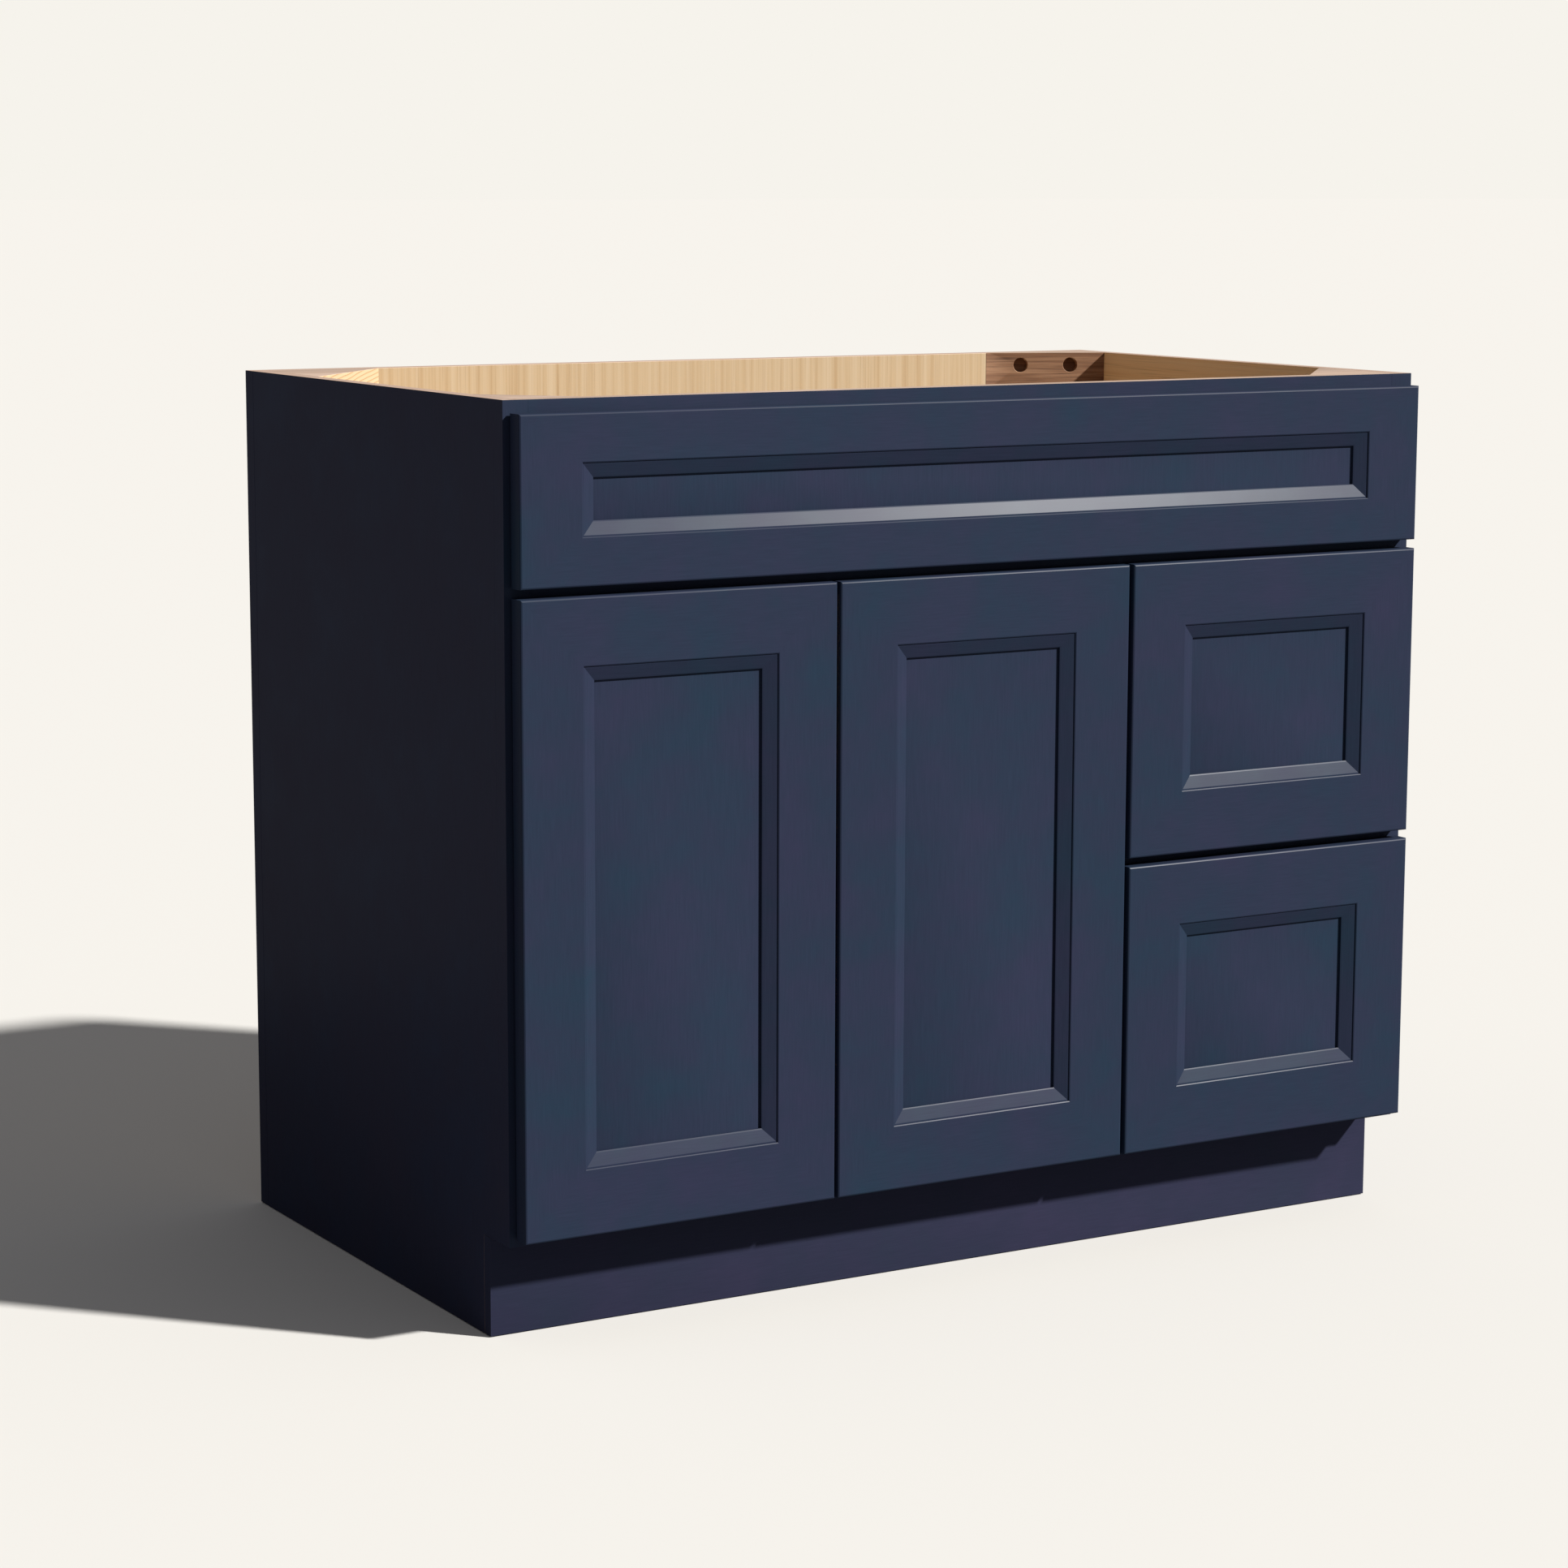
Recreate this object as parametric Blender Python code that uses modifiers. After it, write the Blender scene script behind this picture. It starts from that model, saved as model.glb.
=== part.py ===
"""Painted bathroom vanity cabinet: two butt doors, two drawers, a fixed false front and an open top.

Metres, +Z up. The origin is the middle of the footprint on the floor, and the fronts face -Y.
"""

import math

import bmesh
import bpy
from mathutils import Vector

MM = 0.001

# Carcass
WIDTH = 1036.0 * MM
HEIGHT = 876.3 * MM
CASE_DEPTH = 595.0 * MM
SIDE_THICK = 16.0 * MM
BACK_THICK = 19.5 * MM
FRAME_THICK = 19.0 * MM
KICK_HEIGHT = 96.0 * MM
KICK_RECESS = 42.0 * MM
KICK_THICK = 12.0 * MM
GAP = 0.3 * MM

# Face frame
RAIL_WIDTH = 38.0 * MM
BOTTOM_RAIL_TOP = 121.7 * MM
PARTITION_TOP = 690.0 * MM

# Overlay fronts
FRONT_THICK = 19.0 * MM
BUMPER = 2.0 * MM
SIDE_REVEAL = 6.2 * MM
DOOR_WIDTH = 331.4 * MM
DOOR_GAP = 3.8 * MM
DRAWER_FRONT_GAP = 5.0 * MM
FRONTS_BOTTOM = 102.7 * MM
FRONTS_TOP = 698.2 * MM
DRAWER_SPLIT = 8.8 * MM
FALSE_BOTTOM = 707.3 * MM
FALSE_TOP = 864.4 * MM
OVERLAY = 19.2 * MM

# Moulding routed into every front: a small quirk, then a slope down to the loose centre panel
BORDER = 63.5 * MM
FALSE_BORDER = 45.0 * MM
QUIRK = 1.0 * MM
SLOPE_WIDTH = 14.0 * MM
SLOPE_DEPTH = 6.2 * MM
PANEL_DEPTH = 9.7 * MM
PANEL_THICK = 6.35 * MM
PANEL_TONGUE = 8.0 * MM
GROOVE_REACH = 9.0 * MM
EDGE_ROUND = 1.5 * MM

# Corner blocks under the countertop: the leg across the case, then the leg along its side
BLOCK_LEGS = {
    "front_left": (74.0 * MM, 78.0 * MM),
    "front_right": (100.0 * MM, 112.0 * MM),
    "back_left": (124.0 * MM, 128.0 * MM),
    "back_right": (127.0 * MM, 51.0 * MM),
}
BLOCK_HEIGHT = 40.0 * MM
BLOCK_HOLE_RADIUS = 8.1 * MM
BLOCK_HOLE_DROP = 13.7 * MM
BLOCK_HOLE_DEPTH = 11.0 * MM
BLOCK_HOLES_AT = (0.29, 0.71)

# Cup hinges: offsets run from the door's hinge edge inwards, and from the face frame forwards
HINGE_INSET = 90.0 * MM
PIVOT_IN = 6.2 * MM
PIVOT_OUT = 13.2 * MM
CUP_CENTRE = 20.5 * MM
CUP_RADIUS = 17.2 * MM
CUP_FLOOR = 16.3 * MM
POCKET_HALF = 3.6 * MM
ARM_HALF = 3.0 * MM
ARM_THICK = 2.0 * MM
PIN_RADIUS = 1.2 * MM
PIN_CLEARANCE = 0.1 * MM
EYE_RADIUS = 2.0 * MM
PLATE_HALF = 20.0 * MM
PLATE_WRAP = 8.0 * MM
PLATE_WRAP_THICK = 1.5 * MM
CUP_WALL = 1.2 * MM
FLANGE_SPAN = (10.0 * MM, 33.0 * MM)
FLANGE_HALF = 27.0 * MM
FLANGE_THICK = 1.0 * MM
POCKET_SPAN = (3.9 * MM, 22.5 * MM)
POCKET_FLOOR = 0.8 * MM
PIN_SEAT = 1.5 * MM

# Drawer boxes and their three-part slides
BOX_LENGTH = 500.0 * MM
BOX_HEIGHT = 200.0 * MM
BOX_THICK = 12.0 * MM
BOX_LIFT = 18.0 * MM
BOX_BOTTOM_THICK = 6.0 * MM
BOX_BOTTOM_RISE = 12.0 * MM
BOX_GROOVE = 5.0 * MM
SLIDE_SPACE = 12.9 * MM
SLIDE_RISE = 60.0 * MM
SLIDE_WALL = 1.2 * MM
SLIDE_GUARD = 0.3 * MM
CHANNEL_LIP = 9.0 * MM
CHANNEL_HALF = 22.5 * MM
MIDDLE_WEB = 3.2 * MM
MIDDLE_LIP = 10.6 * MM
MIDDLE_HALF = 19.0 * MM
RAIL_LIP = 6.0 * MM
RAIL_HALF = 15.5 * MM
SLIDE_SET_BACK = 2.0 * MM
SPACER_HEIGHT = 60.0 * MM

# Places that follow from the sizes above
FRAME_FRONT = (FRONT_THICK + BUMPER - CASE_DEPTH) / 2
FRAME_BACK = FRAME_FRONT + FRAME_THICK
BACK_OUTER = FRAME_FRONT + CASE_DEPTH
BACK_INNER = BACK_OUTER - BACK_THICK
SIDE_INNER = WIDTH / 2 - SIDE_THICK
FRONTS_HALF = WIDTH / 2 - SIDE_REVEAL
OPENING_EDGE = FRONTS_HALF - OVERLAY
FRONTS_FACE = FRAME_FRONT - BUMPER - FRONT_THICK
FRONTS_BACK = FRAME_FRONT - BUMPER
DOOR_PAIR_END = -FRONTS_HALF + 2 * DOOR_WIDTH + DOOR_GAP
DRAWERS_START = DOOR_PAIR_END + DRAWER_FRONT_GAP
MID_STILE = (DOOR_PAIR_END - OVERLAY, DRAWERS_START + OVERLAY)
DRAWER_FRONT_HEIGHT = (FRONTS_TOP - FRONTS_BOTTOM - DRAWER_SPLIT) / 2
MIDDLE_RAIL_Z = (FRONTS_TOP + FALSE_BOTTOM) / 2
DRAWER_RAIL_Z = (FRONTS_TOP + FRONTS_BOTTOM) / 2


def clear_scene():
    for piece in list(bpy.data.objects):
        bpy.data.objects.remove(piece, do_unlink=True)


def collection(name, hidden=False):
    made = bpy.data.collections.new(name)
    made.hide_render = hidden
    bpy.context.scene.collection.children.link(made)
    return made


def material(name, colour, roughness, metallic=0.0):
    made = bpy.data.materials.new(name)
    made.use_nodes = True
    shader = made.node_tree.nodes["Principled BSDF"]
    shader.inputs["Base Color"].default_value = (*colour, 1.0)
    shader.inputs["Roughness"].default_value = roughness
    shader.inputs["Metallic"].default_value = metallic
    made.diffuse_color = (*colour, 1.0)
    return made


clear_scene()
PARTS = collection("vanity_cabinet")
CUTTERS = collection("vanity_cabinet_cutters", hidden=True)
PAINT = material("navy_lacquer", (0.034, 0.047, 0.083), 0.42)
BIRCH = material("birch_plywood", (0.77, 0.58, 0.33), 0.55)
PINE = material("pine_block", (0.85, 0.66, 0.36), 0.6)
BROWN_WOOD = material("poplar_block", (0.26, 0.15, 0.08), 0.6)
NICKEL = material("nickel_plated_steel", (0.62, 0.61, 0.58), 0.3, 1.0)
ZINC = material("zinc_plated_steel", (0.55, 0.57, 0.6), 0.35, 1.0)


def place(name, mesh, look, centre, parent=None):
    """Links a mesh as a part at a world position, under its body's empty if it moves."""
    piece = bpy.data.objects.new(name, mesh)
    piece.location = centre
    PARTS.objects.link(piece)
    mesh.materials.append(look)
    if parent:
        piece.parent = parent
        piece.location = Vector(centre) - parent.location
    return piece


def hide_as_cutter(piece):
    PARTS.objects.unlink(piece)
    CUTTERS.objects.link(piece)
    piece.hide_render = True
    piece.display_type = "WIRE"
    return piece


def box_mesh(name, size):
    shape = bmesh.new()
    bmesh.ops.create_cube(shape, size=1.0)
    bmesh.ops.scale(shape, vec=size, verts=shape.verts)
    mesh = bpy.data.meshes.new(name)
    shape.to_mesh(mesh)
    shape.free()
    return mesh


def box(name, x, y, z, look, parent=None):
    """A board or block between two limits on each axis."""
    limits = [sorted(pair) for pair in (x, y, z)]
    size = [high - low for low, high in limits]
    centre = [(high + low) / 2 for low, high in limits]
    return place(name, box_mesh(name, size), look, centre, parent)


def rod(name, radius, length, centre, axis, look=ZINC, parent=None):
    """A cylinder lying along one world axis."""
    shape = bmesh.new()
    bmesh.ops.create_cone(shape, cap_ends=True, segments=32, radius1=radius, radius2=radius, depth=length)
    turn = Vector((0, 0, 1)).rotation_difference(Vector(axis)).to_matrix()
    bmesh.ops.rotate(shape, verts=shape.verts, matrix=turn)
    mesh = bpy.data.meshes.new(name)
    shape.to_mesh(mesh)
    shape.free()
    mesh.shade_smooth()
    mesh.set_sharp_from_angle(angle=math.radians(30))
    return place(name, mesh, look, centre, parent)


def combine(piece, other, operation):
    """Cuts, or joins on, a hidden helper solid."""
    hide_as_cutter(other)
    modifier = piece.modifiers.new(other.name, "BOOLEAN")
    modifier.operation = operation
    modifier.object = other


def cut(piece, other):
    combine(piece, other, "DIFFERENCE")


def join(piece, other):
    combine(piece, other, "UNION")


def axis_empty(name, location):
    made = bpy.data.objects.new(name, None)
    made.location = location
    made.empty_display_size = 0.05
    PARTS.objects.link(made)
    return made


def carcass():
    inner_y = (FRAME_BACK + GAP, BACK_INNER - GAP)
    toe_back = FRAME_FRONT + KICK_RECESS + KICK_THICK + GAP
    for side, name in ((-1, "left"), (1, "right")):
        wall = (side * SIDE_INNER, side * WIDTH / 2)
        panel = box(f"{name}_side_panel", wall, inner_y, (0, HEIGHT), PAINT)
        notch_x = (side * (SIDE_INNER - MM), side * (WIDTH / 2 + MM))
        cut(panel, box(f"{name}_toe_notch", notch_x, (FRAME_FRONT, toe_back), (-MM, KICK_HEIGHT), PAINT))
    box("back_panel", (-WIDTH / 2, WIDTH / 2), (BACK_INNER, BACK_OUTER), (0, HEIGHT), BIRCH)
    kick_y = (FRAME_FRONT + KICK_RECESS, FRAME_FRONT + KICK_RECESS + KICK_THICK)
    box("toe_kick_board", (-WIDTH / 2, WIDTH / 2), kick_y, (0, KICK_HEIGHT - GAP), PAINT)
    floor_z = (BOTTOM_RAIL_TOP - SIDE_THICK, BOTTOM_RAIL_TOP)
    floor_x = (-SIDE_INNER + GAP, SIDE_INNER - GAP)
    box("bottom_panel", floor_x, inner_y, floor_z, BIRCH)
    wall_x = (MID_STILE[1] - SIDE_THICK, MID_STILE[1])
    box("drawer_partition", wall_x, inner_y, (BOTTOM_RAIL_TOP + GAP, PARTITION_TOP), BIRCH)


def face_frame():
    y = (FRAME_FRONT, FRAME_BACK)
    inner = OPENING_EDGE
    full = (-inner + GAP, inner - GAP)
    right_bay = (MID_STILE[1] + GAP, inner - GAP)
    half = RAIL_WIDTH / 2
    box("left_stile", (-WIDTH / 2, -inner), y, (KICK_HEIGHT, HEIGHT), PAINT)
    box("right_stile", (inner, WIDTH / 2), y, (KICK_HEIGHT, HEIGHT), PAINT)
    box("top_rail", full, y, (HEIGHT - RAIL_WIDTH, HEIGHT), PAINT)
    box("middle_rail", full, y, (MIDDLE_RAIL_Z - half, MIDDLE_RAIL_Z + half), PAINT)
    box("bottom_rail", full, y, (KICK_HEIGHT, BOTTOM_RAIL_TOP), PAINT)
    mid_z = (BOTTOM_RAIL_TOP + GAP, MIDDLE_RAIL_Z - half - GAP)
    box("mid_stile", MID_STILE, y, mid_z, PAINT)
    box("drawer_rail", right_bay, y, (DRAWER_RAIL_Z - half, DRAWER_RAIL_Z + half), PAINT)


def block_mesh(name, legs, toward_x, toward_y):
    """A right-angled triangle of wood, its square corner where the two case walls meet."""
    shape = bmesh.new()
    bmesh.ops.create_cube(shape, size=1.0)
    bmesh.ops.scale(shape, vec=(*legs, BLOCK_HEIGHT), verts=shape.verts)
    everything = shape.verts[:] + shape.edges[:] + shape.faces[:]
    inward = Vector((toward_x * legs[1], toward_y * legs[0], 0))
    bmesh.ops.bisect_plane(shape, geom=everything, plane_co=(0, 0, 0), plane_no=inward, clear_outer=True)
    bmesh.ops.contextual_create(shape, geom=[edge for edge in shape.edges if edge.is_boundary])
    bmesh.ops.remove_doubles(shape, verts=shape.verts, dist=0.0001)
    bmesh.ops.recalc_face_normals(shape, faces=shape.faces)
    mesh = bpy.data.meshes.new(name)
    shape.to_mesh(mesh)
    shape.free()
    return mesh


def corner_blocks():
    corner_x = SIDE_INNER - GAP
    corner_y = {"front": FRAME_BACK + GAP, "back": BACK_INNER - GAP}
    for side, side_name in ((-1, "left"), (1, "right")):
        for depth, end_name in ((1, "front"), (-1, "back")):
            legs = BLOCK_LEGS[f"{end_name}_{side_name}"]
            name = f"corner_block_{end_name}_{side_name}"
            look = BROWN_WOOD if side > 0 else PINE
            centre = (
                side * (corner_x - legs[0] / 2),
                corner_y[end_name] + depth * legs[1] / 2,
                HEIGHT - BLOCK_HEIGHT / 2,
            )
            place(name, block_mesh(name, legs, -side, depth), look, centre)
    drill_block("corner_block_back_right", Vector((corner_x, corner_y["back"], 0)))


def drill_block(name, corner):
    """Two blind holes in the slanted face, square to it."""
    block = bpy.data.objects[name]
    legs = BLOCK_LEGS["back_right"]
    start = corner - Vector((legs[0], 0, 0))
    end = corner - Vector((0, legs[1], 0))
    inward = Vector((legs[1], legs[0], 0)).normalized()
    for number, fraction in enumerate(BLOCK_HOLES_AT):
        mouth = start.lerp(end, fraction)
        mouth.z = HEIGHT - BLOCK_HOLE_DROP
        centre = mouth + inward * (BLOCK_HOLE_DEPTH - MM) / 2
        cut(block, rod(f"{name}_hole_{number}", BLOCK_HOLE_RADIUS, BLOCK_HOLE_DEPTH + MM, centre, inward))


def tapered_box(name, x, z, near, far, inset):
    """A box whose far end, deeper into the front, is smaller all round by the inset."""
    piece = box(name, x, (near, far), z, PAINT)
    size = Vector((x[1] - x[0], 0, z[1] - z[0]))
    for corner in piece.data.vertices:
        if corner.co.y > 0:
            corner.co.x *= 1 - 2 * inset / size.x
            corner.co.z *= 1 - 2 * inset / size.z
    return piece


def inside(limits, distance):
    return (limits[0] + distance, limits[1] - distance)


def overlay_front(name, x, z, border_z, parent=None):
    """A frame with the routed moulding, and its loose centre panel in a groove."""
    frame = box(f"{name}_frame", x, (FRONTS_FACE, FRONTS_BACK), z, PAINT, parent)
    edges = frame.modifiers.new("eased_edges", "BEVEL")
    edges.width = EDGE_ROUND
    edges.segments = 2
    recess_x, recess_z = inside(x, BORDER), inside(z, border_z)
    quirk_y = (FRONTS_FACE - MM, FRONTS_FACE + QUIRK)
    cut(frame, box(f"{name}_quirk", recess_x, quirk_y, recess_z, PAINT))
    fall = (SLOPE_DEPTH - QUIRK) / (SLOPE_WIDTH - QUIRK)
    run = SLOPE_WIDTH + QUIRK
    near = FRONTS_FACE + QUIRK - QUIRK * fall
    cut(frame, tapered_box(f"{name}_slope", recess_x, recess_z, near, near + run * fall, run))
    open_x, open_z = inside(recess_x, SLOPE_WIDTH), inside(recess_z, SLOPE_WIDTH)
    through = (FRONTS_FACE, FRONTS_BACK + MM)
    cut(frame, box(f"{name}_opening", open_x, through, open_z, PAINT))
    panel_y = (FRONTS_FACE + PANEL_DEPTH, FRONTS_FACE + PANEL_DEPTH + PANEL_THICK)
    groove_x, groove_z = inside(open_x, -GROOVE_REACH), inside(open_z, -GROOVE_REACH)
    cut(frame, box(f"{name}_groove", groove_x, inside(panel_y, -GAP), groove_z, PAINT))
    panel_x, panel_z = inside(open_x, -PANEL_TONGUE), inside(open_z, -PANEL_TONGUE)
    box(f"{name}_panel", panel_x, panel_y, panel_z, PAINT, parent)
    return frame


def false_front():
    x = (-FRONTS_HALF, FRONTS_HALF)
    overlay_front("false_front", x, (FALSE_BOTTOM, FALSE_TOP), FALSE_BORDER)


def hinge_cup(name, edge, inward, z, door):
    """The cup pressed into the door's back, its screw flange and the hinge pin across its pocket."""
    def across(first, last):
        return (edge + inward * first, edge + inward * last)

    depth = CUP_FLOOR - CUP_WALL
    centre = (edge + inward * CUP_CENTRE, FRAME_FRONT - CUP_FLOOR + depth / 2, z)
    cup = rod(name, CUP_RADIUS, depth, centre, (0, 1, 0), NICKEL, door)
    flange_y = (FRONTS_BACK + GAP, FRONTS_BACK + GAP + FLANGE_THICK)
    flange_z = (z - FLANGE_HALF, z + FLANGE_HALF)
    join(cup, box(f"{name}_flange", across(*FLANGE_SPAN), flange_y, flange_z, NICKEL))
    pocket_y = (FRAME_FRONT - CUP_FLOOR + POCKET_FLOOR, FRAME_FRONT + MM)
    pocket_z = (z - POCKET_HALF, z + POCKET_HALF)
    cut(cup, box(f"{name}_pocket", across(*POCKET_SPAN), pocket_y, pocket_z, NICKEL))
    pin_at = (edge + inward * PIVOT_IN, FRAME_FRONT - PIVOT_OUT, z)
    join(cup, rod(f"{name}_pin", PIN_RADIUS, 2 * (POCKET_HALF + PIN_SEAT), pin_at, (0, 0, 1)))


def hinge_arm(name, edge, inward, z):
    """The plate screwed round the stile and its gooseneck, which reaches into the cup to the pin."""
    def across(first, last):
        return (edge + inward * first, edge + inward * last)

    face = OVERLAY + GAP
    pivot_y = FRAME_FRONT - PIVOT_OUT
    reach_y = (pivot_y - ARM_THICK / 2, pivot_y + ARM_THICK / 2)
    plate_z = (z - PLATE_HALF, z + PLATE_HALF)
    arm_z = (z - ARM_HALF, z + ARM_HALF)
    wrap_y = FRAME_BACK + GAP + PLATE_WRAP_THICK
    arm = box(name, across(face, face + ARM_THICK), (FRAME_FRONT + GAP, wrap_y), plate_z, NICKEL)
    wrap_x = across(face - PLATE_WRAP, face + MM)
    join(arm, box(f"{name}_wrap", wrap_x, (FRAME_BACK + GAP, wrap_y), plate_z, NICKEL))
    neck_y = (reach_y[0], FRAME_FRONT + MM)
    join(arm, box(f"{name}_neck", across(face, face + ARM_THICK), neck_y, arm_z, NICKEL))
    join(arm, box(f"{name}_reach", across(PIVOT_IN, face + MM), reach_y, arm_z, NICKEL))
    pivot = (edge + inward * PIVOT_IN, pivot_y, z)
    join(arm, rod(f"{name}_eye", EYE_RADIUS, 2 * ARM_HALF, pivot, (0, 0, 1)))
    cut(arm, rod(f"{name}_bore", PIN_RADIUS + PIN_CLEARANCE, 3 * ARM_HALF, pivot, (0, 0, 1)))


def door(name, edge, inward):
    """One door, hung on the side where its edge is; inward points from there across the door."""
    axis = axis_empty(f"{name}_axis", (edge + inward * PIVOT_IN, FRAME_FRONT - PIVOT_OUT, 0))
    x = tuple(sorted((edge, edge + inward * DOOR_WIDTH)))
    frame = overlay_front(name, x, (FRONTS_BOTTOM, FRONTS_TOP), BORDER, axis)
    heights = {"lower": FRONTS_BOTTOM + HINGE_INSET, "upper": FRONTS_TOP - HINGE_INSET}
    for level, z in heights.items():
        hole_depth = CUP_FLOOR + GAP
        hole_at = (edge + inward * CUP_CENTRE, FRAME_FRONT - hole_depth / 2, z)
        cut(frame, rod(f"{name}_{level}_cup_hole", CUP_RADIUS + GAP, hole_depth, hole_at, (0, 1, 0)))
        hinge_cup(f"{name}_{level}_hinge_cup", edge, inward, z, axis)
        hinge_arm(f"{name}_{level}_hinge_arm", edge, inward, z)


def slide_member(name, outline, y, z, look=ZINC, parent=None):
    """A rolled steel channel: its cross-section outline run along the slide."""
    curve = bpy.data.curves.new(name, "CURVE")
    curve.dimensions = "2D"
    curve.fill_mode = "BOTH"
    curve.extrude = (y[1] - y[0]) / 2
    spline = curve.splines.new("POLY")
    spline.points.add(len(outline) - 1)
    for point, (across, up) in zip(spline.points, outline):
        point.co = (across, up, 0, 1)
    spline.use_cyclic_u = True
    centre = (0, (y[0] + y[1]) / 2, z)
    piece = place(name, curve, look, centre, parent)
    piece.rotation_euler = (math.radians(90), 0, 0)
    return piece


def channel(web, lip, half_height, face, toward):
    """The outline of a C channel from its web to its lips, measured off the mounting face."""
    inner = web + SLIDE_WALL if lip > web else web - SLIDE_WALL
    low = half_height - SLIDE_WALL
    shape = (
        (web, -half_height), (lip, -half_height), (lip, -low), (inner, -low),
        (inner, low), (lip, low), (lip, half_height), (web, half_height),
    )
    return [(face + toward * across, up) for across, up in shape]


def slide(drawer, side, face, toward, z, box_axis, middle_axis):
    """Cabinet channel, middle channel and drawer rail, one inside the other."""
    y = (FRAME_FRONT + SLIDE_SET_BACK, FRAME_FRONT + SLIDE_SET_BACK + BOX_LENGTH)
    outer = channel(SLIDE_GUARD, CHANNEL_LIP, CHANNEL_HALF, face, toward)
    middle = channel(MIDDLE_WEB, MIDDLE_LIP, MIDDLE_HALF, face, toward)
    inner = channel(SLIDE_SPACE - SLIDE_GUARD, RAIL_LIP, RAIL_HALF, face, toward)
    slide_member(f"{drawer}_{side}_slide_channel", outer, y, z)
    slide_member(f"{drawer}_{side}_slide_middle", middle, y, z, parent=middle_axis)
    slide_member(f"{drawer}_{side}_slide_rail", inner, y, z, parent=box_axis)


def drawer_box(name, x, z, axis):
    """Four boards and a thin bottom held in grooves."""
    y = (FRONTS_BACK + GAP, FRONTS_BACK + GAP + BOX_LENGTH)
    bottom_z = (z[0] + BOX_BOTTOM_RISE, z[0] + BOX_BOTTOM_RISE + BOX_BOTTOM_THICK)
    groove_z = inside(bottom_z, -GAP)
    inner_x = inside(x, BOX_THICK)
    groove_x = inside(inner_x, -BOX_GROOVE)
    boards = {
        "left_side": ((x[0], inner_x[0]), y),
        "right_side": ((inner_x[1], x[1]), y),
        "box_front": (inside(inner_x, GAP), (y[0], y[0] + BOX_THICK)),
    }
    groove_y = (y[0] + BOX_THICK - BOX_GROOVE, y[1] + MM)
    for board, (board_x, board_y) in boards.items():
        piece = box(f"{name}_{board}", board_x, board_y, z, BIRCH, axis)
        cut(piece, box(f"{name}_{board}_groove", groove_x, groove_y, groove_z, BIRCH))
    back_z = (bottom_z[1] + GAP, z[1])
    box(f"{name}_box_back", inside(inner_x, GAP), (y[1] - BOX_THICK, y[1]), back_z, BIRCH, axis)
    sheet_y = (groove_y[0] + GAP, y[1])
    box(f"{name}_bottom", inside(groove_x, GAP), sheet_y, bottom_z, BIRCH, axis)


def drawer(name, front_bottom, opening_bottom):
    """One drawer: its overlay front, its box and a pair of slides."""
    x = (DRAWERS_START, FRONTS_HALF)
    middle = (x[0] + x[1]) / 2
    axis = axis_empty(f"{name}_axis", (middle, FRONTS_BACK, opening_bottom))
    middle_axis = axis_empty(f"{name}_slide_axis", (middle, FRONTS_BACK, opening_bottom))
    front_z = (front_bottom, front_bottom + DRAWER_FRONT_HEIGHT)
    overlay_front(f"{name}_front", x, front_z, BORDER, axis)
    left_face, right_face = MID_STILE[1], OPENING_EDGE
    box_z = (opening_bottom + BOX_LIFT, opening_bottom + BOX_LIFT + BOX_HEIGHT)
    drawer_box(name, (left_face + SLIDE_SPACE, right_face - SLIDE_SPACE), box_z, axis)
    slide_z = box_z[0] + SLIDE_RISE
    slide(name, "left", left_face, 1, slide_z, axis, middle_axis)
    slide(name, "right", right_face, -1, slide_z, axis, middle_axis)
    spacer_z = (slide_z - SPACER_HEIGHT / 2, slide_z + SPACER_HEIGHT / 2)
    spacer_x = (right_face, SIDE_INNER - GAP)
    box(f"{name}_slide_spacer", spacer_x, (FRAME_BACK + GAP, BACK_INNER - GAP), spacer_z, BIRCH)


def main():
    carcass()
    face_frame()
    corner_blocks()
    false_front()
    door("left_door", -FRONTS_HALF, 1)
    door("right_door", DOOR_PAIR_END, -1)
    drawer("lower_drawer", FRONTS_BOTTOM, BOTTOM_RAIL_TOP)
    upper_bottom = FRONTS_BOTTOM + DRAWER_FRONT_HEIGHT + DRAWER_SPLIT
    drawer("upper_drawer", upper_bottom, DRAWER_RAIL_Z + RAIL_WIDTH / 2)


main()
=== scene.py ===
import math

import bpy
import numpy as np
from mathutils import Matrix, Vector


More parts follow.
